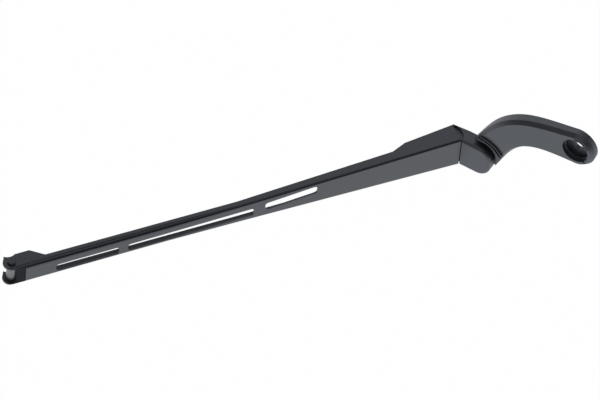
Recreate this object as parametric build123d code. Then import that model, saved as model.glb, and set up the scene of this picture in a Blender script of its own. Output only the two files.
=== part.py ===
from build123d import *
import os
from math import atan2, cos, degrees, hypot, pi, radians, sin, tan

# Wiper arm, lifted off the glass and lying on its side. Millimetres.
# X runs along the arm from the blade end to the hinge, Y points to the glass,
# Z is up along the hinge pin. The origin is on the spindle axis, at the nut seat.
# Pieces are drawn about the hinge end of the arm's web and moved to that origin at the end.

# Pose
LIFT_ANGLE = 54.0

# Arm channel, a folded sheet
SHEET = 1.6
BEND_RADIUS = 2.0
TIP_BEND_RADIUS = 3.9
BEND_RUN = 70.0
INNER_BEND_RADIUS = 1.2
HINGE_WIDTH = 34.0
ROD_WIDTH = 22.4
TAPER_LENGTH = 220.0
HINGE_DEPTH = 20.5
CHEEK_LENGTH = 49.6
CHEEK_DEPTH = 16.2
CHEEK_RAMP = 14.4
CHEEK_FOOT_DEPTH = 10.6
ROD_DEPTH = 6.8
ROD_TIP_DEPTH = 7.8

# Slots in the web, from the blade end: the length of each, the web left between them, their common width,
# and how far each lies above the web's middle and leans towards the hinge
TIP_SLOT_MARGIN = 29.5
TIP_SLOT_LENGTH = 61.0
TIP_BRIDGE = 8.5
MIDDLE_SLOT_LENGTH = 123.5
HINGE_BRIDGE = 11.0
HINGE_SLOT_LENGTH = 51.5
SLOT_WIDTH = 9.2
TIP_SLOT_RISE = -2.9
MIDDLE_SLOT_RISE = -2.2
MIDDLE_SLOT_ANGLE = 0.6
HINGE_SLOT_RISE = 2.8
HINGE_SLOT_ANGLE = 4.9
SLOT_CORNER = 3.0

# Fork at the blade end
BLADE_PIN_REACH = 438.0
BLADE_PIN_DEPTH = 9.2
FORK_LENGTH = 10.5
EAR_RADIUS = 8.0
FIN_DEPTH = 17.4
FIN_FOOT = 32.0
FIN_PEAK = 20.0
FIN_END = 6.0
TOOTH_LENGTH = 2.2
BLADE_PIN_RADIUS = 2.5
BLADE_HEAD_RADIUS = 4.1
BLADE_HEAD_HEIGHT = 1.8
SLEEVE_RADIUS = 4.6
RUNNING_CLEARANCE = 0.06
END_PLAY = 0.3

# Hinge
PIN_SETBACK = 9.0
PIN_DEPTH = 10.0
HINGE_PIN_RADIUS = 4.0
PIN_SEAT = 1.1
SWING_GAP = 0.4
LIP_THICKNESS = 1.0
BUSH_WALL = 1.2
BUSH_FLANGE = 1.2
BUSH_FLANGE_RADIUS = 6.9
TONGUE_RADIUS = 7.9
SIDE_PLAY = 0.25

# Head: a hinge block and a curved plate that carries the spindle
BLOCK_GAP = 0.7
BLOCK_LENGTH = 31.0
BLOCK_THICKNESS = 14.6
BLOCK_ROUND = 3.0
BLOCK_END_RADIUS = 13.0
NECK_ROOT = 17.8
NECK_ANGLE = 66.0
NECK_LENGTH = 31.8
NECK_BEND_RADIUS = 72.0
NECK_TURN_ANGLE = 56.0
RUN_LENGTH = 29.0
NECK_WIDTH = 31.4
WAIST_WIDTH = 29.8
SPINDLE_END_WIDTH = 37.4
FLARE_POWER = 4
EDGE_STATIONS = 5
FACE_DROP = 2.0
PLATE_THICKNESS = 10.4
PLATE_DRAFT = 3.0
EDGE_BEVEL = 2.8
EDGE_BEVEL_DEPTH = 4.0
BACK_TILT_ANGLE = 2.2
SCOOP_WIDTH = 23.0
SCOOP_DEPTH = 9.0
SCOOP_STEP = 3.0
SCOOP_RIB_START = 9.5
SCOOP_RIB_STEP = 3.4
SCOOP_RIB_THICKNESS = 0.9
SCOOP_RIB_DROP = 0.6

# Underside of the head
POCKET_WALL = 4.0
POCKET_DEPTH = 8.0
POCKET_START_SHARE = 0.3
POCKET_END_SHARE = 0.74
RIB_THICKNESS = 2.2
RIB_COUNT = 2

# Spindle seat
RECESS_RADIUS = 13.0
RECESS_STEP = 1.4
RECESS_STEP_DEPTH = 4.0
RECESS_DEPTH = 8.5
BORE_RADIUS = 4.2
BORE_LAND = 3.0
CONE_RADIUS = 9.0
BOSS_RADIUS = 12.0
BOSS_HEIGHT = 3.0
NOTCH_WIDTH = 1.4
NOTCH_ANGLE = -42.0
GROOVE_WIDTH = 1.3
GROOVE_DEPTH = 2.0
GROOVE_SPAN = 80.0

# Spring and its hook
ANCHOR_FORWARD = 8.0
ANCHOR_DROP = 8.0
ANCHOR_PIN_RADIUS = 2.2
ANCHOR_PIN_LENGTH = 20.0
HOOK_THICKNESS = 2.6
HOOK_WIDTH = 4.0
HOOK_BULGE = 9.4
HOOK_REACH = 30.0
HOOK_SLOT_PLAY = 0.7
SPRING_RADIUS = 3.5
SPRING_WIRE = 0.8
SPRING_PITCH = 5.2
TURN_STEPS = 8
WIRE_SIDES = 6
SPRING_DEPTH = 5.7
SPRING_PIN_SETBACK = 130.0
SPRING_PIN_RADIUS = 1.6
HOOK_EYE_RADIUS = 1.7

# Straight edges of cutting tools reach this far past the solids that they cut
CUT_PAST = 40.0

# The web stops short of the blade pin, and its slots follow one another from there
WEB_LENGTH = BLADE_PIN_REACH - FORK_LENGTH
TIP_SLOT_START = WEB_LENGTH - TIP_SLOT_MARGIN
MIDDLE_SLOT_START = TIP_SLOT_START - TIP_SLOT_LENGTH - TIP_BRIDGE
HINGE_SLOT_START = MIDDLE_SLOT_START - MIDDLE_SLOT_LENGTH - HINGE_BRIDGE

lift = radians(LIFT_ANGLE)
HEAD_PLANE = Plane(origin=(0, 0, 0), x_dir=(cos(lift), -sin(lift), 0), z_dir=(-sin(lift), -cos(lift), 0))


def half_width(setback):
    """Half the channel's outer width at a distance from the hinge end."""
    share = max(0.0, 1 - setback / TAPER_LENGTH)
    return (ROD_WIDTH + (HINGE_WIDTH - ROD_WIDTH) * share) / 2


def trough_section(setback, inset, radius):
    """The channel's section at a distance from the hinge end, moved inwards, with its two bends rounded."""
    half = half_width(setback) - inset
    # Plane with x up the hinge axis and y to the glass
    across = Plane(origin=(-setback, inset, 0), x_dir=(0, 0, 1), z_dir=(-1, 0, 0))
    outline = Polyline((-half, 0), (half, 0), (half, CUT_PAST), (-half, CUT_PAST), close=True)
    face = make_face(outline)
    return across * fillet(face.vertices().group_by(Axis.Y)[0], radius)


def trough(inset, radius, tip_radius):
    """A solid trough that tapers from the hinge end, then runs straight on as its bends widen to the tip."""
    hinge_end = trough_section(0, inset, radius)
    rod_start = trough_section(TAPER_LENGTH, inset, radius)
    rod_middle = trough_section(TAPER_LENGTH + BEND_RUN, inset, tip_radius)
    rod_end = trough_section(BLADE_PIN_REACH + CUT_PAST, inset, tip_radius)
    sections = [hinge_end, rod_start, rod_middle, rod_end]
    lengths = [loft([near, far], ruled=True) for near, far in zip(sections, sections[1:])]
    return lengths[0] + lengths[1] + lengths[2]


def side_profile():
    """The flange's outline seen along the hinge pin, with the fin, the tooth and the ear."""
    pin = Vector(-BLADE_PIN_REACH, BLADE_PIN_DEPTH)
    tooth = pin + Vector(-EAR_RADIUS * 0.55, EAR_RADIUS + TOOTH_LENGTH * 0.4)
    hollow = pin + Vector(EAR_RADIUS * 0.1, EAR_RADIUS - TOOTH_LENGTH * 0.6)
    outer_tangent = pin + Vector(-EAR_RADIUS, 0)
    lower_tangent = pin + Vector(0, -EAR_RADIUS)
    cheek = [
        (0, 0),
        (0, HINGE_DEPTH),
        (-CHEEK_LENGTH, CHEEK_DEPTH),
        (-CHEEK_LENGTH - CHEEK_RAMP, CHEEK_FOOT_DEPTH),
        (-TAPER_LENGTH, ROD_DEPTH),
        (pin.X + FIN_FOOT, ROD_TIP_DEPTH),
        (pin.X + FIN_PEAK, FIN_DEPTH),
        (pin.X + FIN_END, FIN_DEPTH),
    ]
    edges = Polyline(*cheek)
    edges += ThreePointArc(cheek[-1], hollow, tooth)
    edges += Spline(tooth, outer_tangent, tangents=((-0.2, -1), (0, -1)))
    edges += TangentArc(outer_tangent, lower_tangent, tangent=(0, -1))
    edges += Polyline(lower_tangent, (-WEB_LENGTH, 0), (0, 0))
    return make_face(edges)


def web_slot(start, length, rise, angle):
    """A rounded slot right through the web, leaning by an angle."""
    plane = Plane(origin=(-start + length / 2, 0, rise), x_dir=(1, 0, 0), z_dir=(0, -1, 0))
    outline = Rot(0, 0, angle) * RectangleRounded(length, SLOT_WIDTH, SLOT_CORNER)
    return extrude(plane * outline, SHEET * 2, both=True)


def blind_pin_length(setback):
    """The length of a pin whose ends are sunk in both flanges and don't show outside."""
    return 2 * (half_width(setback) - SHEET + PIN_SEAT)


def cross_rod(x, y, radius, length):
    """A round rod along Z, centred on the arm's middle plane."""
    return Pos(x, y, 0) * Cylinder(radius, length)


def arm_channel():
    """The folded channel with its slots, deep hinge cheeks and blade fork."""
    folded = trough(0, BEND_RADIUS, TIP_BEND_RADIUS)
    folded -= trough(SHEET, INNER_BEND_RADIUS, INNER_BEND_RADIUS)
    arm = folded & extrude(side_profile(), HINGE_WIDTH, both=True)
    arm -= web_slot(TIP_SLOT_START, TIP_SLOT_LENGTH, TIP_SLOT_RISE, 0)
    arm -= web_slot(MIDDLE_SLOT_START, MIDDLE_SLOT_LENGTH, MIDDLE_SLOT_RISE, MIDDLE_SLOT_ANGLE)
    arm -= web_slot(HINGE_SLOT_START, HINGE_SLOT_LENGTH, HINGE_SLOT_RISE, HINGE_SLOT_ANGLE)
    fork_gap = Box(CUT_PAST, CUT_PAST * 2, ROD_WIDTH - 2 * SHEET)
    arm -= Pos(-WEB_LENGTH - CUT_PAST / 2, 0, 0) * fork_gap
    arm -= hinge_pin()
    arm -= spring_pin()
    arm -= cross_rod(-BLADE_PIN_REACH, BLADE_PIN_DEPTH, BLADE_PIN_RADIUS, HINGE_WIDTH * 2)
    return arm


def blade_pin():
    """The rivet across the fork, with a bevelled head on each ear."""
    pin = cross_rod(-BLADE_PIN_REACH, BLADE_PIN_DEPTH, BLADE_PIN_RADIUS, ROD_WIDTH)
    for side in (1, -1):
        head = Cylinder(BLADE_HEAD_RADIUS, BLADE_HEAD_HEIGHT, align=(Align.CENTER, Align.CENTER, Align.MIN))
        head = chamfer(head.edges().group_by(Axis.Z)[-1], BLADE_HEAD_HEIGHT * 0.55)
        if side < 0:
            head = Rot(180, 0, 0) * head
        pin += Pos(-BLADE_PIN_REACH, BLADE_PIN_DEPTH, side * ROD_WIDTH / 2) * head
    return pin


def blade_pin_sleeve():
    """The plain sleeve that turns on the blade pin between the ears."""
    length = ROD_WIDTH - 2 * SHEET - 2 * END_PLAY
    sleeve = cross_rod(-BLADE_PIN_REACH, BLADE_PIN_DEPTH, SLEEVE_RADIUS, length)
    bore = cross_rod(-BLADE_PIN_REACH, BLADE_PIN_DEPTH, BLADE_PIN_RADIUS + RUNNING_CLEARANCE, length)
    return sleeve - bore


def hinge_pin():
    """The hinge pin, pressed into both cheeks."""
    return cross_rod(-PIN_SETBACK, PIN_DEPTH, HINGE_PIN_RADIUS, blind_pin_length(PIN_SETBACK))


def spring_pin():
    """The small pin across the channel that holds the spring's far loop."""
    length = blind_pin_length(SPRING_PIN_SETBACK)
    return cross_rod(-SPRING_PIN_SETBACK, SPRING_DEPTH, SPRING_PIN_RADIUS, length)


# Places in the head's own plan: along the head, up the hinge axis, and outwards from the glass
PIN_ALONG = -PIN_SETBACK * cos(lift) - PIN_DEPTH * sin(lift)
PIN_OUT = PIN_SETBACK * sin(lift) - PIN_DEPTH * cos(lift)
ANCHOR_ALONG = PIN_ALONG + ANCHOR_FORWARD
ANCHOR_OUT = PIN_OUT - ANCHOR_DROP
BUSH_RADIUS = HINGE_PIN_RADIUS + BUSH_WALL
TONGUE_HALF = half_width(PIN_SETBACK + TONGUE_RADIUS) - SHEET - SIDE_PLAY
HOOK_SLOT = HOOK_THICKNESS + HOOK_SLOT_PLAY
# The cheeks' free corner, and the plane with x along the head, y outwards and its normal down the hinge axis
CORNER_ALONG = -HINGE_DEPTH * sin(lift)
CORNER_OUT = -HINGE_DEPTH * cos(lift)
ACROSS = Plane(origin=(0, 0, 0), x_dir=(1, 0, 0), z_dir=(0, -1, 0))


def head_spine():
    """The middle line of the curved plate, from the block to the spindle."""
    angle = radians(NECK_ANGLE)
    direction = (cos(angle), sin(angle))
    neck = Line((NECK_ROOT, 0), (NECK_ROOT + NECK_LENGTH * direction[0], NECK_LENGTH * direction[1]))
    bend = JernArc(neck @ 1, neck % 1, NECK_BEND_RADIUS, -NECK_TURN_ANGLE)
    run = Line(bend @ 1, (bend @ 1) + (bend % 1) * RUN_LENGTH)
    return Wire([neck.edge(), bend.edge(), run.edge()])


SPINE = head_spine()
SPINDLE = SPINE @ 1


def plate_width(share):
    """The plate's width at a share of its middle line: wide at both ends, with a waist between."""
    neck_flare = (NECK_WIDTH - WAIST_WIDTH) * (1 - share) ** FLARE_POWER
    return WAIST_WIDTH + neck_flare + (SPINDLE_END_WIDTH - WAIST_WIDTH) * share**FLARE_POWER


def plate_sides(inset, start, end):
    """The plate's two long edges between two shares of its middle line, moved inwards by the inset."""
    sides = []
    for side in (1, -1):
        points = []
        for station in range(EDGE_STATIONS + 1):
            share = start + (end - start) * station / EDGE_STATIONS
            tangent = SPINE % share
            half = plate_width(share) / 2 - inset
            points.append((SPINE @ share) + Vector(-tangent.Y, tangent.X) * (half * side))
        sides.append(Spline(*points))
    return sides


def plate_outline(inset):
    """The whole plate's outline, round about the spindle."""
    left, right = plate_sides(inset, 0, 1)
    far = SPINDLE + (SPINE % 1) * (SPINDLE_END_WIDTH / 2 - inset)
    return make_face(left + ThreePointArc(left @ 1, far, right @ 1) + right + Line(right @ 0, left @ 0))


def plate():
    """The curved plate: a bevel round its face, drafted sides behind that, and thicker at its root."""
    face = Pos(0, 0, -FACE_DROP) * plate_outline(EDGE_BEVEL)
    parting = Pos(0, 0, -FACE_DROP - EDGE_BEVEL_DEPTH) * plate_outline(0)
    narrowed = plate_outline((PLATE_THICKNESS - EDGE_BEVEL_DEPTH) * tan(radians(PLATE_DRAFT)))
    tilted = Rot(0, -BACK_TILT_ANGLE, 0) * Pos(-SPINDLE.X, 0, 0) * narrowed
    back = Pos(SPINDLE.X, 0, -FACE_DROP - PLATE_THICKNESS) * tilted
    return loft([parting, face], ruled=True) + loft([parting, back], ruled=True)


def block_outline(grow):
    """The hinge block seen on its face: square to the channel, round at the far end."""
    half = HINGE_WIDTH / 2 + grow
    radius = BLOCK_END_RADIUS + grow
    far = BLOCK_LENGTH + grow
    face = make_face(Polyline((BLOCK_GAP, -half), (far, -half), (far, half), (BLOCK_GAP, half), close=True))
    return fillet(face.vertices().group_by(Axis.X)[-1], radius)


def block():
    """The hinge block, rounded along its upper edge and round its far end."""
    body = extrude(block_outline(0), -BLOCK_THICKNESS)
    face_edges = body.faces().sort_by(Axis.Z)[-1].edges()
    beyond_gap = [edge for edge in face_edges if edge.center().X > BLOCK_GAP]
    rounded = [edge for edge in beyond_gap if edge.center().Y > -HINGE_WIDTH / 2]
    return fillet(rounded, BLOCK_ROUND)


def lip():
    """The block's full-width lip on the glass side, hollowed for the swing of the cheeks' ends."""
    section = Polyline(
        (PIN_ALONG, PIN_OUT),
        (BLOCK_LENGTH / 2, -BLOCK_THICKNESS / 2),
        (BLOCK_LENGTH / 2, -BLOCK_THICKNESS),
        (BLOCK_GAP, -BLOCK_THICKNESS),
        (CORNER_ALONG, CORNER_OUT - LIP_THICKNESS),
        close=True,
    )
    swing = hypot(PIN_SETBACK, max(PIN_DEPTH, HINGE_DEPTH - PIN_DEPTH)) + SWING_GAP
    body = extrude(ACROSS * make_face(section), HINGE_WIDTH / 2, both=True)
    return body - head_rod(PIN_ALONG, PIN_OUT, swing, HINGE_WIDTH * 2) - hook_slot()


def hook_slot():
    """The slot in the tongue and the lip that the hook swings in."""
    slot_end = ANCHOR_ALONG + ANCHOR_PIN_RADIUS * 2 + HOOK_WIDTH
    slot = Box(CUT_PAST, HOOK_SLOT, CUT_PAST * 2, align=(Align.MAX, Align.CENTER, Align.CENTER))
    return Pos(slot_end, 0, 0) * slot


def tongue():
    """The tongue that enters the channel, turns on the hinge pin and carries the stop face."""
    # Outline in the plan across the hinge pin: along the head, and outwards
    centre = Vector(PIN_ALONG, PIN_OUT)
    to_web = Vector(sin(lift), cos(lift))
    along_web = Vector(cos(lift), -sin(lift))
    stop_start = centre + to_web * TONGUE_RADIUS
    stop_drop = -FACE_DROP
    stop_end = stop_start + along_web * ((stop_start.Y - stop_drop) / sin(lift))
    # The glass side runs from under the cheeks' free corner to the block's back
    bridge = Polyline(
        (centre.X, centre.Y),
        (stop_start.X, stop_start.Y),
        (stop_end.X, stop_end.Y),
        (BLOCK_LENGTH / 2, stop_drop),
        (BLOCK_LENGTH / 2, -BLOCK_THICKNESS),
        (BLOCK_GAP, -BLOCK_THICKNESS),
        (CORNER_ALONG, CORNER_OUT),
        (centre.X - TONGUE_RADIUS, centre.Y),
        close=True,
    )
    section = make_face(bridge) + Pos(centre.X, centre.Y) * Circle(TONGUE_RADIUS)
    body = extrude(ACROSS * section, TONGUE_HALF, both=True)
    body -= hook_slot()
    body -= head_rod(PIN_ALONG, PIN_OUT, BUSH_RADIUS, HINGE_WIDTH * 2)
    for side in (1, -1):
        seat = head_rod(PIN_ALONG, PIN_OUT, BUSH_FLANGE_RADIUS, BUSH_FLANGE)
        body -= Pos(0, side * (TONGUE_HALF - BUSH_FLANGE / 2), 0) * seat
    return body - head_rod(ANCHOR_ALONG, ANCHOR_OUT, ANCHOR_PIN_RADIUS, ANCHOR_PIN_LENGTH)


def head_rod(along, out, radius, length):
    """A round rod along the hinge axis, placed in the head's plan."""
    return Pos(along, 0, out) * Rot(90, 0, 0) * Cylinder(radius, length)


def scoop():
    """The hollow in the plate round the block's far end, with two thin ribs left standing."""
    rim = block_outline(SCOOP_WIDTH)
    ledge = Pos(0, 0, -SCOOP_DEPTH / 2) * block_outline(2 * SCOOP_STEP)
    hollow = loft([rim, ledge], ruled=True) + extrude(block_outline(SCOOP_STEP), -SCOOP_DEPTH)
    for inner in (SCOOP_RIB_START, SCOOP_RIB_START + SCOOP_RIB_STEP):
        rib = block_outline(inner + SCOOP_RIB_THICKNESS) - block_outline(inner)
        hollow -= Pos(0, 0, -SCOOP_RIB_DROP) * extrude(rib, -SCOOP_DEPTH)
    return Pos(0, 0, -FACE_DROP) * hollow


def pocket():
    """The cored hollow under the plate, crossed by ribs."""
    left, right = plate_sides(POCKET_WALL, POCKET_START_SHARE, POCKET_END_SHARE)
    outline = make_face(left + Line(left @ 1, right @ 1) + right + Line(right @ 0, left @ 0))
    hollow = extrude(outline, POCKET_DEPTH) + extrude(outline, -CUT_PAST)
    for rib in range(RIB_COUNT):
        share = POCKET_START_SHARE + (POCKET_END_SHARE - POCKET_START_SHARE) * (rib + 1) / (RIB_COUNT + 1)
        tangent = SPINE % share
        wall = Box(RIB_THICKNESS, CUT_PAST * 2, CUT_PAST * 2)
        spot = SPINE @ share
        hollow -= Pos(spot.X, spot.Y, 0) * Rot(0, 0, degrees(atan2(tangent.Y, tangent.X))) * wall
    return Pos(0, 0, -FACE_DROP - PLATE_THICKNESS) * hollow


def spindle_cut():
    """The nut recess, the bore and its cone, as one turned solid about the spindle axis."""
    face = -FACE_DROP
    seat = face - RECESS_DEPTH
    back = face - PLATE_THICKNESS - BOSS_HEIGHT
    lip = RECESS_RADIUS - RECESS_STEP
    profile = Polyline(
        (0, face + CUT_PAST),
        (RECESS_RADIUS, face + CUT_PAST),
        (RECESS_RADIUS, face - RECESS_STEP_DEPTH),
        (lip, face - RECESS_STEP_DEPTH),
        (lip, seat),
        (BORE_RADIUS, seat),
        (BORE_RADIUS, seat - BORE_LAND),
        (CONE_RADIUS, back),
        (CONE_RADIUS, back - CUT_PAST),
        (0, back - CUT_PAST),
        close=True,
    )
    return Pos(SPINDLE.X, SPINDLE.Y, 0) * revolve(Plane.XZ * make_face(profile), Axis.Z)


def rim_marks():
    """The crescent groove and the pry notch in the recess's rim."""
    radius = (RECESS_RADIUS + SPINDLE_END_WIDTH / 2 - EDGE_BEVEL) / 2
    ring = Cylinder(radius + GROOVE_WIDTH / 2, GROOVE_DEPTH * 2)
    ring -= Cylinder(radius - GROOVE_WIDTH / 2, GROOVE_DEPTH * 2)
    reach = SPINDLE_END_WIDTH
    half = radians(GROOVE_SPAN / 2)
    wedge = make_face(Polyline((0, 0), (reach, -reach * sin(half)), (reach, reach * sin(half)), close=True))
    ring &= Rot(0, 0, NECK_ANGLE) * extrude(wedge, GROOVE_DEPTH * 2, both=True)
    notch = Box(reach, NOTCH_WIDTH, GROOVE_DEPTH * 2, align=(Align.MIN, Align.CENTER, Align.CENTER))
    marks = ring + Rot(0, 0, NOTCH_ANGLE) * notch
    return Pos(SPINDLE.X, SPINDLE.Y, -FACE_DROP) * marks


def mounting_head():
    """The cast head: plate, hinge block, tongue and spindle seat in one piece."""
    boss_length = PLATE_THICKNESS - RECESS_DEPTH + BOSS_HEIGHT
    boss = Cylinder(BOSS_RADIUS, boss_length, align=(Align.CENTER, Align.CENTER, Align.MAX))
    body = plate() + Pos(SPINDLE.X, SPINDLE.Y, -FACE_DROP - RECESS_DEPTH) * boss
    body -= pocket()
    body -= scoop()
    body += block() + lip() + tongue()
    body -= spindle_cut()
    body -= rim_marks()
    return HEAD_PLANE * body


def hinge_bush(side):
    """A flanged bush between the tongue and the hinge pin, on one side."""
    inner = HOOK_SLOT / 2
    seat = TONGUE_HALF - BUSH_FLANGE
    flange_height = BUSH_FLANGE + SIDE_PLAY / 2
    sleeve = Cylinder(BUSH_RADIUS, seat - inner, align=(Align.CENTER, Align.CENTER, Align.MIN))
    flange = Cylinder(BUSH_FLANGE_RADIUS, flange_height, align=(Align.CENTER, Align.CENTER, Align.MIN))
    bush = Pos(0, 0, inner) * sleeve + Pos(0, 0, seat) * flange
    bush -= Cylinder(HINGE_PIN_RADIUS + RUNNING_CLEARANCE, HINGE_WIDTH * 2)
    if side < 0:
        bush = Rot(180, 0, 0) * bush
    return Pos(-PIN_SETBACK, PIN_DEPTH, 0) * bush


def anchor_place():
    """The hook's anchor on the tongue, in the arm's frame."""
    return HEAD_PLANE.from_local_coords(Vector(ANCHOR_ALONG, 0, ANCHOR_OUT))


ANCHOR = anchor_place()


def anchor_pin():
    """The pin across the tongue's slot that the hook pulls on."""
    return HEAD_PLANE * head_rod(ANCHOR_ALONG, ANCHOR_OUT, ANCHOR_PIN_RADIUS, ANCHOR_PIN_LENGTH)


HOOK_END = Vector(ANCHOR.X - HOOK_REACH, SPRING_DEPTH, 0)


def spring_hook():
    """The flat C-shaped hook that passes round the hinge pin on the glass side."""
    start = Vector(ANCHOR.X, ANCHOR.Y)
    end = Vector(HOOK_END.X, HOOK_END.Y)
    crown = Vector(-PIN_SETBACK, ANCHOR.Y + HOOK_BULGE)
    wall = HOOK_WIDTH / 2
    shape = trace(ThreePointArc(start, crown, end), HOOK_WIDTH)
    shape += Pos(start.X, start.Y) * Circle(ANCHOR_PIN_RADIUS + wall)
    shape += Pos(end.X, end.Y) * Circle(HOOK_EYE_RADIUS + wall)
    shape -= Pos(start.X, start.Y) * Circle(ANCHOR_PIN_RADIUS + RUNNING_CLEARANCE)
    shape -= Pos(end.X, end.Y) * Circle(HOOK_EYE_RADIUS)
    return extrude(shape, HOOK_THICKNESS / 2, both=True)


def wire_between(start, end):
    """A straight piece of the spring's wire between two points."""
    span = end - start
    return Plane(origin=start, z_dir=span) * extrude(RegularPolygon(SPRING_WIRE, WIRE_SIDES), span.length)


def wire_loop():
    """A flat loop of the spring's wire about Z."""
    inner = RegularPolygon(SPRING_RADIUS - 2 * SPRING_WIRE, TURN_STEPS)
    return extrude(RegularPolygon(SPRING_RADIUS, TURN_STEPS) - inner, SPRING_WIRE, both=True)


def tension_spring():
    """The pull spring from the hook to the pin in the channel, with a loop at each end."""
    coil = SPRING_RADIUS - SPRING_WIRE
    pin_loop = Vector(-SPRING_PIN_SETBACK, SPRING_DEPTH, 0)
    eye_loop = HOOK_END - Vector(coil, 0, 0)
    left = pin_loop.X + coil + SPRING_WIRE
    right = eye_loop.X - coil - SPRING_WIRE
    turns = round((right - left) / SPRING_PITCH)
    steps = turns * TURN_STEPS
    points = []
    for step in range(steps + 1):
        angle = 2 * pi * step / TURN_STEPS
        along = left + (right - left) * step / steps
        points.append((along, SPRING_DEPTH + coil * cos(angle), coil * sin(angle)))
    coils = Polyline(*points)
    section = Plane(origin=coils @ 0, z_dir=coils % 0) * RegularPolygon(SPRING_WIRE, WIRE_SIDES)
    spring = sweep(section, coils, transition=Transition.RIGHT)
    spring += Location(pin_loop) * wire_loop()
    spring += Location(eye_loop) * Rot(90, 0, 0) * wire_loop()
    spring += wire_between(coils @ 0, pin_loop + Vector(coil, 0, 0))
    spring += wire_between(coils @ 1, eye_loop - Vector(coil, 0, 0))
    return spring


def main():
    """Builds every piece and writes one file for each."""
    os.makedirs("parts", exist_ok=True)
    spindle_seat = HEAD_PLANE.from_local_coords(Vector(SPINDLE.X, SPINDLE.Y, -FACE_DROP - RECESS_DEPTH))
    home = Pos(-spindle_seat.X, -spindle_seat.Y, -spindle_seat.Z)
    pieces = {
        "arm_channel": arm_channel(),
        "mounting_head": mounting_head(),
        "hinge_pin": hinge_pin(),
        "hinge_bush_upper": hinge_bush(1),
        "hinge_bush_lower": hinge_bush(-1),
        "anchor_pin": anchor_pin(),
        "spring_hook": spring_hook(),
        "tension_spring": tension_spring(),
        "spring_pin": spring_pin(),
        "blade_pin": blade_pin(),
        "blade_pin_sleeve": blade_pin_sleeve(),
    }
    for name, piece in pieces.items():
        export_step(home * piece, f"parts/{name}.step")
    places = {
        "hinge pin": home * Pos(-PIN_SETBACK, PIN_DEPTH, 0),
        "anchor pin": home * Pos(ANCHOR.X, ANCHOR.Y, 0),
        "blade pin": home * Pos(-BLADE_PIN_REACH, BLADE_PIN_DEPTH, 0),
        "web end": home,
    }
    for name, place in places.items():
        print(name, [round(value, 3) for value in tuple(place.position)])


main()
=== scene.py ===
"""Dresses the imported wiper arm: paint, metals, a round-wire spring, a pale studio and the photo's camera."""

from __future__ import annotations

import logging
import math
from collections.abc import Mapping, Sequence
from dataclasses import dataclass, field
from enum import Enum
from typing import Any

import bmesh
import bpy
from mathutils import Matrix, Quaternion, Vector

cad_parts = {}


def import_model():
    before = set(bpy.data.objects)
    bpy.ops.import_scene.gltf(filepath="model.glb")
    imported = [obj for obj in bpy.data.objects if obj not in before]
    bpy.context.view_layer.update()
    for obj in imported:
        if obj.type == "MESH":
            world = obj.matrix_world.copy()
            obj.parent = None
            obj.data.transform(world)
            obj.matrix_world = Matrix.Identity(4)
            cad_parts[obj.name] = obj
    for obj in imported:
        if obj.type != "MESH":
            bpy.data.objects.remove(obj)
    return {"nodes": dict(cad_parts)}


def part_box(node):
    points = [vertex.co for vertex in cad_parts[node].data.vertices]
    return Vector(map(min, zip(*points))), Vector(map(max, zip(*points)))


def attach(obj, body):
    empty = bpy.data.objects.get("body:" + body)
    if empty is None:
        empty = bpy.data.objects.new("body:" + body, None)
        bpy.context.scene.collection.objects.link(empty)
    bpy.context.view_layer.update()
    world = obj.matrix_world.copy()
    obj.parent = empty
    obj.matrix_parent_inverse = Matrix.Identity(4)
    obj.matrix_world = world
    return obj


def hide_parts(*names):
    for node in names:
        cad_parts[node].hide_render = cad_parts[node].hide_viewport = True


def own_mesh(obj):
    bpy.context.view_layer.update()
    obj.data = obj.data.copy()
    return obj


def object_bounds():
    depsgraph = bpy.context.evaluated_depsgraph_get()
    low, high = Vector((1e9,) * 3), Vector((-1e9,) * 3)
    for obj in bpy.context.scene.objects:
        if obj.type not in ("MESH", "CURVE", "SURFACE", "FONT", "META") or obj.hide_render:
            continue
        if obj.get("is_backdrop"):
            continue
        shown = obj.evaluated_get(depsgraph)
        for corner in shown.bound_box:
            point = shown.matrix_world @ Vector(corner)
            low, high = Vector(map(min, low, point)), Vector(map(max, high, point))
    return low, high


LOG = logging.getLogger("wiper_arm")
MM = 0.001
PHOTO_WIDTH = 600
PHOTO_HEIGHT = 400
WHITE = "#ffffff"

# A Mix node's sockets share their names, so they go by number
MIX_NUMBER_A = 2
MIX_NUMBER_B = 3
MIX_NUMBER_OUT = 0
MIX_COLOUR_A = 6
MIX_COLOUR_B = 7
MIX_COLOUR_OUT = 2
# Rays per point that round an edge to the eye
EDGE_SAMPLES = 6


class Body(str, Enum):
    """The moving bodies that carry the wire."""

    ARM = "arm"
    SPRING_LINK = "spring_link"


class Slot(str, Enum):
    """The name of the record's finish slot for the spring wire."""

    SPRING = "spring_steel"


def linear(hex_colour: str) -> tuple[float, float, float, float]:
    """Turns an sRGB hex value to a linear colour.

    Args:
        hex_colour: six hex digits after a hash.

    Returns:
        Red, green, blue and a full alpha.
    """
    shares = [int(hex_colour[i : i + 2], 16) / 255 for i in (1, 3, 5)]
    # The standard sRGB curve: a straight foot, then a power
    red, green, blue = (s / 12.92 if s <= 0.04045 else ((s + 0.055) / 1.055) ** 2.4 for s in shares)
    return red, green, blue, 1.0


def per_metre(size_mm: float) -> float:
    """Turns the real size of a pattern's cell to a texture scale.

    Args:
        size_mm: one cell, in millimetres.

    Returns:
        Cells per metre.
    """
    return 1 / (size_mm * MM)


def add_node(
    tree: bpy.types.NodeTree,
    kind: str,
    inputs: Mapping[str | int, Any] | None = None,
    **settings: Any,
) -> bpy.types.Node:
    """Adds a node with its settings, values and links.

    Args:
        tree: the node tree that takes the node.
        kind: the node's type name.
        inputs: input name or number to a value, or to the output socket that feeds it.
        **settings: attributes of the node.

    Returns:
        The new node.
    """
    node = tree.nodes.new(kind)
    for name, value in settings.items():
        setattr(node, name, value)
    for key, value in (inputs or {}).items():
        if isinstance(value, bpy.types.NodeSocket):
            tree.links.new(value, node.inputs[key])
        else:
            node.inputs[key].default_value = value
    return node


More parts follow.
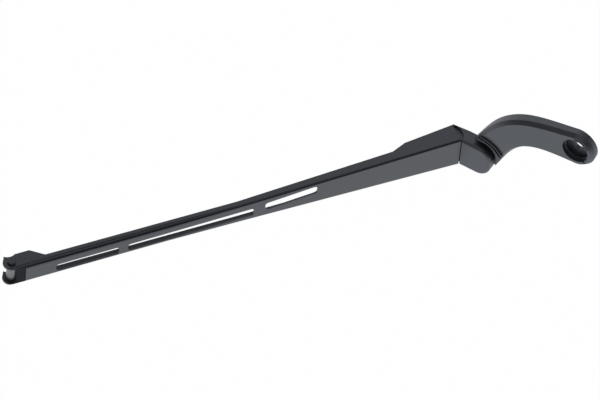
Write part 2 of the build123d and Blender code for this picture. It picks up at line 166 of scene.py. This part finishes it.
def blank_material(name: str) -> bpy.types.Material:
    """Makes a material with an empty node tree.

    Args:
        name: the material's name.

    Returns:
        The new material.
    """
    material = bpy.data.materials.new(name)
    material.use_nodes = True
    material.node_tree.nodes.clear()
    return material


@dataclass(frozen=True)
class BlackEnamel:
    """Black stoving enamel, sprayed on: nearly black, with a broad satin gloss and a faint orange peel."""

    name: str
    dark: str = "#101215"
    light: str = "#181b1f"
    roughness_low: float = 0.24
    roughness_high: float = 0.32
    # Above a plain paint's 1.5, matched to the strong sheen of the baked film
    ior: float = 1.9
    sheen_tint: str = "#e8f0fd"
    # The spray hardly reaches a channel's inside, which stays dull
    dull_inside: bool = False
    dull_roughness: float = 0.62
    # The channel's middle plane, and how far from it a flange's inner face lies at least
    middle_z_mm: float = -75.708
    flange_mm: float = 7.8
    # The least share of a face's direction that looks to the glass
    glass_share: float = 0.5
    cloud_mm: float = 60.0
    cloud_detail: float = 3.0
    peel_mm: float = 1.6
    peel_detail: float = 2.0
    peel_height_mm: float = 0.012
    edge_mm: float = 0.5

    def make(self) -> bpy.types.Material:
        """Builds the enamel.

        Returns:
            The finished material.
        """
        material = blank_material(self.name)
        tree = material.node_tree
        place = add_node(tree, "ShaderNodeTexCoord").outputs["Object"]
        # Slow change of film thickness, which shifts colour and gloss a little
        cloud = add_node(
            tree,
            "ShaderNodeTexNoise",
            {"Vector": place, "Scale": per_metre(self.cloud_mm), "Detail": self.cloud_detail},
        ).outputs["Fac"]
        colour = add_node(
            tree,
            "ShaderNodeMix",
            {"Factor": cloud, MIX_COLOUR_A: linear(self.dark), MIX_COLOUR_B: linear(self.light)},
            data_type="RGBA",
        ).outputs[MIX_COLOUR_OUT]
        roughness = add_node(
            tree,
            "ShaderNodeMapRange",
            {"Value": cloud, "To Min": self.roughness_low, "To Max": self.roughness_high},
        ).outputs["Result"]
        if self.dull_inside:
            roughness = add_node(
                tree,
                "ShaderNodeMix",
                {
                    "Factor": self.inside(tree, place),
                    MIX_NUMBER_A: roughness,
                    MIX_NUMBER_B: self.dull_roughness,
                },
            ).outputs[MIX_NUMBER_OUT]
        # Orange peel, with cells of about a millimetre
        peel = add_node(
            tree,
            "ShaderNodeTexNoise",
            {"Vector": place, "Scale": per_metre(self.peel_mm), "Detail": self.peel_detail},
        ).outputs["Fac"]
        edge = add_node(
            tree, "ShaderNodeBevel", {"Radius": self.edge_mm * MM}, samples=EDGE_SAMPLES
        ).outputs["Normal"]
        normal = add_node(
            tree,
            "ShaderNodeBump",
            {"Height": peel, "Distance": self.peel_height_mm * MM, "Strength": 1.0, "Normal": edge},
        ).outputs["Normal"]
        surface = add_node(
            tree,
            "ShaderNodeBsdfPrincipled",
            {
                "Base Color": colour,
                "Roughness": roughness,
                "IOR": self.ior,
                "Specular Tint": linear(self.sheen_tint),
                "Normal": normal,
            },
        )
        add_node(tree, "ShaderNodeOutputMaterial", {"Surface": surface.outputs["BSDF"]})
        return material

    def inside(self, tree: bpy.types.NodeTree, place: bpy.types.NodeSocket) -> bpy.types.NodeSocket:
        """Marks the channel's inner faces, which look to the glass or back to the middle plane.

        Args:
            tree: the material's node tree.
            place: the place on the piece.

        Returns:
            One on an inner face, and nought elsewhere.
        """
        facing = add_node(tree, "ShaderNodeTexCoord").outputs["Normal"]
        facing_axes = add_node(tree, "ShaderNodeSeparateXYZ", {0: facing}).outputs
        height = add_node(tree, "ShaderNodeSeparateXYZ", {0: place}).outputs["Z"]
        above = add_node(
            tree, "ShaderNodeMath", {0: height, 1: self.middle_z_mm * MM}, operation="SUBTRACT"
        ).outputs[0]
        outward = add_node(
            tree, "ShaderNodeMath", {0: above, 1: facing_axes["Z"]}, operation="MULTIPLY"
        ).outputs[0]
        inward = add_node(
            tree, "ShaderNodeMath", {0: outward, 1: -self.flange_mm * MM}, operation="LESS_THAN"
        ).outputs[0]
        to_glass = add_node(
            tree, "ShaderNodeMath", {0: facing_axes["Y"], 1: self.glass_share}, operation="GREATER_THAN"
        ).outputs[0]
        return add_node(tree, "ShaderNodeMath", {0: inward, 1: to_glass}, operation="MAXIMUM").outputs[0]


@dataclass(frozen=True)
class TurnedMetal:
    """Bare or plated metal, drawn or turned: a metallic sheen with fine marks round the piece."""

    name: str
    dark: str
    light: str
    roughness_low: float
    roughness_high: float
    metallic: float = 1.0
    mark_mm: float = 0.5
    mark_detail: float = 2.0
    mark_stretch: float = 12.0
    mark_height_mm: float = 0.006
    edge_mm: float = 0.3

    def make(self) -> bpy.types.Material:
        """Builds the metal.

        Returns:
            The finished material.
        """
        material = blank_material(self.name)
        tree = material.node_tree
        place = add_node(tree, "ShaderNodeTexCoord").outputs["Object"]
        scale = per_metre(self.mark_mm)
        # Turning marks lie across the pin, so the pattern is fine along Z and long across it
        drawn = add_node(
            tree,
            "ShaderNodeMapping",
            {"Vector": place, "Scale": (scale / self.mark_stretch, scale / self.mark_stretch, scale)},
        ).outputs["Vector"]
        marks = add_node(
            tree, "ShaderNodeTexNoise", {"Vector": drawn, "Scale": 1.0, "Detail": self.mark_detail}
        ).outputs["Fac"]
        colour = add_node(
            tree,
            "ShaderNodeMix",
            {"Factor": marks, MIX_COLOUR_A: linear(self.dark), MIX_COLOUR_B: linear(self.light)},
            data_type="RGBA",
        ).outputs[MIX_COLOUR_OUT]
        roughness = add_node(
            tree,
            "ShaderNodeMapRange",
            {"Value": marks, "To Min": self.roughness_low, "To Max": self.roughness_high},
        ).outputs["Result"]
        edge = add_node(
            tree, "ShaderNodeBevel", {"Radius": self.edge_mm * MM}, samples=EDGE_SAMPLES
        ).outputs["Normal"]
        normal = add_node(
            tree,
            "ShaderNodeBump",
            {"Height": marks, "Distance": self.mark_height_mm * MM, "Strength": 1.0, "Normal": edge},
        ).outputs["Normal"]
        surface = add_node(
            tree,
            "ShaderNodeBsdfPrincipled",
            {"Base Color": colour, "Metallic": self.metallic, "Roughness": roughness, "Normal": normal},
        )
        add_node(tree, "ShaderNodeOutputMaterial", {"Surface": surface.outputs["BSDF"]})
        return material


# On smooth sheet: a satin gloss outside, and a dull inside
ARM_ENAMEL = BlackEnamel("enamel_on_sheet", dull_inside=True, edge_mm=0.3)
# On a casting, whose grain shows through: a duller and greyer face with soft edges
HEAD_ENAMEL = BlackEnamel(
    "enamel_on_casting",
    dark="#1d1f21",
    light="#282a2d",
    roughness_low=0.46,
    roughness_high=0.55,
    ior=2.2,
    peel_mm=0.9,
    peel_height_mm=0.02,
    edge_mm=0.7,
)
# Zinc plating: a light, slightly cloudy grey
SLEEVE_STEEL = TurnedMetal("zinc_plated_sleeve", "#74777b", "#94979b", 0.3, 0.45, metallic=0.8)
# Phosphate coat: a dark grey with little shine
PIN_STEEL = TurnedMetal("phosphated_pin", "#3b3d40", "#4a4c4f", 0.35, 0.5)
# Bare drawn wire: a mid grey with fine bright lines
SPRING_STEEL = TurnedMetal("drawn_spring_wire", "#74777b", "#8f9296", 0.28, 0.42, mark_mm=0.3)
# Sintered bronze: a warm, dull brown
BUSH_BRONZE = TurnedMetal("sintered_bronze", "#7d6238", "#93764a", 0.4, 0.55)


@dataclass
class ArmDress:
    """The painted channel and the pins pressed into it."""

    nodes: Mapping[str, bpy.types.Object]
    painted: Sequence[str] = ("arm_channel", "hinge_pin", "spring_pin", "blade_pin")
    sleeve: str = "blade_pin_sleeve"

    def dress(self) -> None:
        """Gives the channel and its pins their enamel, and the sleeve its plating."""
        enamel = ARM_ENAMEL.make()
        for name in self.painted:
            cover(self.nodes[name], enamel)
        cover(self.nodes[self.sleeve], SLEEVE_STEEL.make())


@dataclass
class HeadDress:
    """The painted casting with its bushes and the hook's anchor pin."""

    nodes: Mapping[str, bpy.types.Object]
    casting: str = "mounting_head"
    bushes: Sequence[str] = ("hinge_bush_upper", "hinge_bush_lower")
    anchor: str = "anchor_pin"

    def dress(self) -> None:
        """Gives the casting its enamel, the bushes bronze and the anchor pin steel."""
        cover(self.nodes[self.casting], HEAD_ENAMEL.make())
        bronze = BUSH_BRONZE.make()
        for name in self.bushes:
            cover(self.nodes[name], bronze)
        cover(self.nodes[self.anchor], PIN_STEEL.make())


@dataclass
class PullSpring:
    """The round-wire spring that stands for the plain one, with its loops and the hook that it pulls."""

    nodes: Mapping[str, bpy.types.Object]
    # Half the wire's thickness
    wire_mm: float = 0.8
    wire_roundness: int = 2
    pitch_mm: float = 2.6
    shank_mm: float = 7.0
    turn_steps: int = 20
    # The line and the share of length by which the coil would shorten to clear the web as the arm folds
    fold_axis: tuple[float, float, float] = (0.996, 0.085, 0.0)
    fold_keep: float = 0.952
    low: Vector = field(init=False)
    high: Vector = field(init=False)
    middle: Vector = field(init=False)
    wire: float = field(init=False)
    radius: float = field(init=False)

    def __post_init__(self) -> None:
        """Takes the wire's places from the plain spring."""
        self.low, self.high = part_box("tension_spring")
        self.middle = (self.low + self.high) / 2
        self.wire = self.wire_mm * MM
        self.radius = (self.high.z - self.low.z) / 2 - self.wire

    def turn(self, centre_x: float, start: Vector, side: Vector) -> list[Vector]:
        """One full turn of wire about a point on the spring's axis.

        Args:
            centre_x: the point's place along the axis, in metres.
            start: the direction of the turn's first point.
            side: the direction that the turn sets off in.

        Returns:
            Points along the wire, in metres.
        """
        centre = Vector((centre_x, self.middle.y, self.middle.z))
        angles = [math.tau * step / self.turn_steps for step in range(self.turn_steps + 1)]
        spokes = [start * math.cos(angle) + side * math.sin(angle) for angle in angles]
        return [centre + spoke * self.radius for spoke in spokes]

    def far_loop(self) -> list[Vector]:
        """The loop that lies flat about its pin, with a shank that slides in the coil.

        Returns:
            Points along the wire, in metres.
        """
        loop = self.turn(self.low.x + self.radius + self.wire, Vector((1, 0, 0)), Vector((0, 1, 0)))
        return [*loop, loop[-1] + Vector((self.shank_mm * MM, 0, 0))]

    def coil(self) -> list[Vector]:
        """The coil and the loop that stands upright in the hook's eye.

        Returns:
            Points along the wire, in metres.
        """
        # A loop from side to side, and half the wire of the coil's first turn
        loop_length = 2 * self.radius + 3 * self.wire
        left = self.low.x + loop_length
        right = self.high.x - loop_length
        steps = round((right - left) / (self.pitch_mm * MM)) * self.turn_steps
        points = []
        for step in range(steps + 1):
            angle = math.tau * step / self.turn_steps
            along = Vector((left + (right - left) * step / steps, self.middle.y, self.middle.z))
            points.append(along + Vector((0, math.cos(angle), math.sin(angle))) * self.radius)
        eye_x = self.high.x - self.radius - self.wire
        return points + self.turn(eye_x, Vector((-1, 0, 0)), Vector((0, 0, -1)))

    def build(self, name: str, points: Sequence[Vector]) -> bpy.types.Object:
        """Sweeps the round wire along its points.

        Args:
            name: the piece's name.
            points: the wire's middle line, in metres.

        Returns:
            The piece.
        """
        curve = bpy.data.curves.new("wire_route", "CURVE")
        curve.dimensions = "3D"
        curve.bevel_depth = self.wire
        curve.bevel_resolution = self.wire_roundness
        curve.use_fill_caps = True
        spline = curve.splines.new("POLY")
        spline.points.add(len(points) - 1)
        for point, place in zip(spline.points, points):
            point.co = (*place, 1.0)
        guide = bpy.data.objects.new("wire_guide", curve)
        mesh = bpy.data.meshes.new_from_object(guide)
        bpy.data.objects.remove(guide)
        bpy.data.curves.remove(curve)
        mesh.shade_smooth()
        LOG.info("%s: %d faces", name, len(mesh.polygons))
        return add_mesh(name, mesh)

    def dress(self) -> None:
        """Puts the wire in the plain spring's place, its far loop on the arm's pin, and covers the hook."""
        coil = self.build("pull_spring", self.coil())
        loop = self.build("spring_far_loop", self.far_loop())
        steel = SPRING_STEEL.make()
        for piece in (coil, loop, self.nodes["spring_hook"]):
            cover(piece, steel)
        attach(coil, Body.SPRING_LINK.value)
        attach(loop, Body.ARM.value)
        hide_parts("tension_spring")
        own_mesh(coil)


def add_mesh(name: str, mesh: bpy.types.Mesh) -> bpy.types.Object:
    """Puts a mesh into the scene.

    Args:
        name: the piece's name.
        mesh: its mesh.

    Returns:
        The new object.
    """
    mesh.name = name
    piece = bpy.data.objects.new(name, mesh)
    bpy.context.scene.collection.objects.link(piece)
    return piece


def cover(piece: bpy.types.Object, material: bpy.types.Material) -> None:
    """Gives a piece one material all over.

    Args:
        piece: the piece.
        material: its finish.
    """
    piece.data.materials.clear()
    piece.data.materials.append(material)
    LOG.info("%s: %s", piece.name, material.name)


@dataclass(frozen=True)
class Softbox:
    """A large flat studio lamp that faces the arm. Its place is from the arm's middle, in metres."""

    name: str
    place: tuple[float, float, float]
    width: float
    height: float
    watts: float

    def build(self, target: Vector) -> None:
        """Hangs the lamp.

        Args:
            target: the point that it faces.
        """
        lamp = bpy.data.lights.new(self.name, "AREA")
        lamp.shape = "RECTANGLE"
        lamp.size = self.width
        lamp.size_y = self.height
        lamp.energy = self.watts
        stand = bpy.data.objects.new(self.name, lamp)
        stand.location = target + Vector(self.place)
        stand.rotation_mode = "QUATERNION"
        stand.rotation_quaternion = (-Vector(self.place)).to_track_quat("-Z", "Y")
        bpy.context.scene.collection.objects.link(stand)


@dataclass
class Studio:
    """A white table top, soft lamps and a dim room."""

    low: Vector
    high: Vector
    table_size: float = 6.0
    table_gap_mm: float = 0.3
    table_colour: str = "#f4f4f4"
    glow_share: float = 0.994
    room_level: float = 0.09

    def build(self) -> None:
        """Sets out the table, the lamps and the room."""
        target = (self.low + self.high) / 2
        for lamp in (
            Softbox("back_box", place=(0.4, 1.3, 0.8), width=2.4, height=1.3, watts=6.6),
            Softbox("side_box", place=(1.7, -0.4, 0.5), width=1.0, height=1.0, watts=1.5),
            Softbox("top_box", place=(-0.3, -0.3, 1.6), width=1.6, height=1.6, watts=4.0),
        ):
            lamp.build(target)
        self.room()
        self.table(target)

    def room(self) -> None:
        """An even, dim room."""
        world = bpy.data.worlds.new("studio_room")
        world.use_nodes = True
        tree = world.node_tree
        tree.nodes.clear()
        glow = add_node(
            tree, "ShaderNodeBackground", {"Color": linear(WHITE), "Strength": self.room_level}
        )
        add_node(tree, "ShaderNodeOutputWorld", {"Surface": glow.outputs["Background"]})
        bpy.context.scene.world = world

    def table(self, target: Vector) -> None:
        """A white sheet under the arm, white to the eye and in reflections, that keeps a faint shadow.

        Args:
            target: the point above the sheet's middle.
        """
        mesh = bpy.data.meshes.new("table_sheet")
        shape = bmesh.new()
        half = self.table_size / 2
        level = self.low.z - self.table_gap_mm * MM
        corners = [(-half, -half), (half, -half), (half, half), (-half, half)]
        shape.faces.new([shape.verts.new((target.x + x, target.y + y, level)) for x, y in corners])
        shape.to_mesh(mesh)
        shape.free()
        sheet = add_mesh("table_sheet", mesh)
        material = blank_material("white_paper")
        tree = material.node_tree
        ray = add_node(tree, "ShaderNodeLightPath").outputs
        seen = ray["Is Camera Ray"]
        for kind in ("Is Glossy Ray", "Is Transmission Ray"):
            seen = add_node(tree, "ShaderNodeMath", {0: seen, 1: ray[kind]}, operation="ADD").outputs[0]
        share = add_node(
            tree, "ShaderNodeMath", {0: seen, 1: self.glow_share}, operation="MULTIPLY", use_clamp=True
        )
        paper = add_node(tree, "ShaderNodeBsdfDiffuse", {"Color": linear(self.table_colour)})
        glow = add_node(tree, "ShaderNodeEmission", {"Color": linear(WHITE), "Strength": 1.0})
        mixed = add_node(
            tree,
            "ShaderNodeMixShader",
            {0: share.outputs[0], 1: paper.outputs["BSDF"], 2: glow.outputs["Emission"]},
        )
        add_node(tree, "ShaderNodeOutputMaterial", {"Surface": mixed.outputs["Shader"]})
        sheet.data.materials.append(material)
        sheet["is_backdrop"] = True


@dataclass(frozen=True)
class PhotoCamera:
    """The photo's long-lens view, aimed so that the end of the arm's web falls on its pixel."""

    # Angles in degrees, and the web's end in millimetres
    azimuth: float = -27.0
    elevation: float = 50.0
    roll: float = 5.6
    focal_px: float = 6000.0
    mm_per_px: float = 0.92
    web_end: tuple[float, float, float] = (-74.659, 84.896, -75.708)
    web_end_px: tuple[float, float] = (459.8, 152.7)
    sensor_mm: float = 36.0
    clip_end: float = 100.0

    def build(self) -> None:
        """Makes the camera and sets it as the scene's own."""
        azimuth = math.radians(self.azimuth)
        elevation = math.radians(self.elevation)
        back = Vector(
            (
                math.sin(azimuth) * math.cos(elevation),
                -math.cos(azimuth) * math.cos(elevation),
                math.sin(elevation),
            )
        )
        level = Vector((math.cos(azimuth), math.sin(azimuth), 0))
        turn = Quaternion(back, math.radians(self.roll))
        right = turn @ level
        up = back.cross(right)
        aside = (self.web_end_px[0] - PHOTO_WIDTH / 2) * self.mm_per_px
        above = (PHOTO_HEIGHT / 2 - self.web_end_px[1]) * self.mm_per_px
        eye = Vector(self.web_end) + back * self.focal_px * self.mm_per_px - right * aside - up * above
        data = bpy.data.cameras.new("photo_camera")
        data.sensor_width = self.sensor_mm
        data.lens = self.focal_px * self.sensor_mm / PHOTO_WIDTH
        data.clip_end = self.clip_end
        camera = bpy.data.objects.new("photo_camera", data)
        turned = Matrix((right, up, back)).transposed().to_4x4()
        camera.matrix_world = Matrix.Translation(eye * MM) @ turned
        bpy.context.scene.collection.objects.link(camera)
        bpy.context.scene.camera = camera


def main() -> None:
    """Loads the frame, dresses each sub-assembly and sets up the studio."""
    logging.basicConfig(level=logging.INFO, format="%(name)s %(message)s")
    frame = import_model()
    cad_low, cad_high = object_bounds()
    nodes = frame["nodes"]
    PhotoCamera().build()
    for assembly in (ArmDress(nodes), HeadDress(nodes), PullSpring(nodes)):
        assembly.dress()
    Studio(cad_low, cad_high).build()
    bpy.context.scene.view_settings.view_transform = "Standard"


if __name__ == "__main__":
    main()
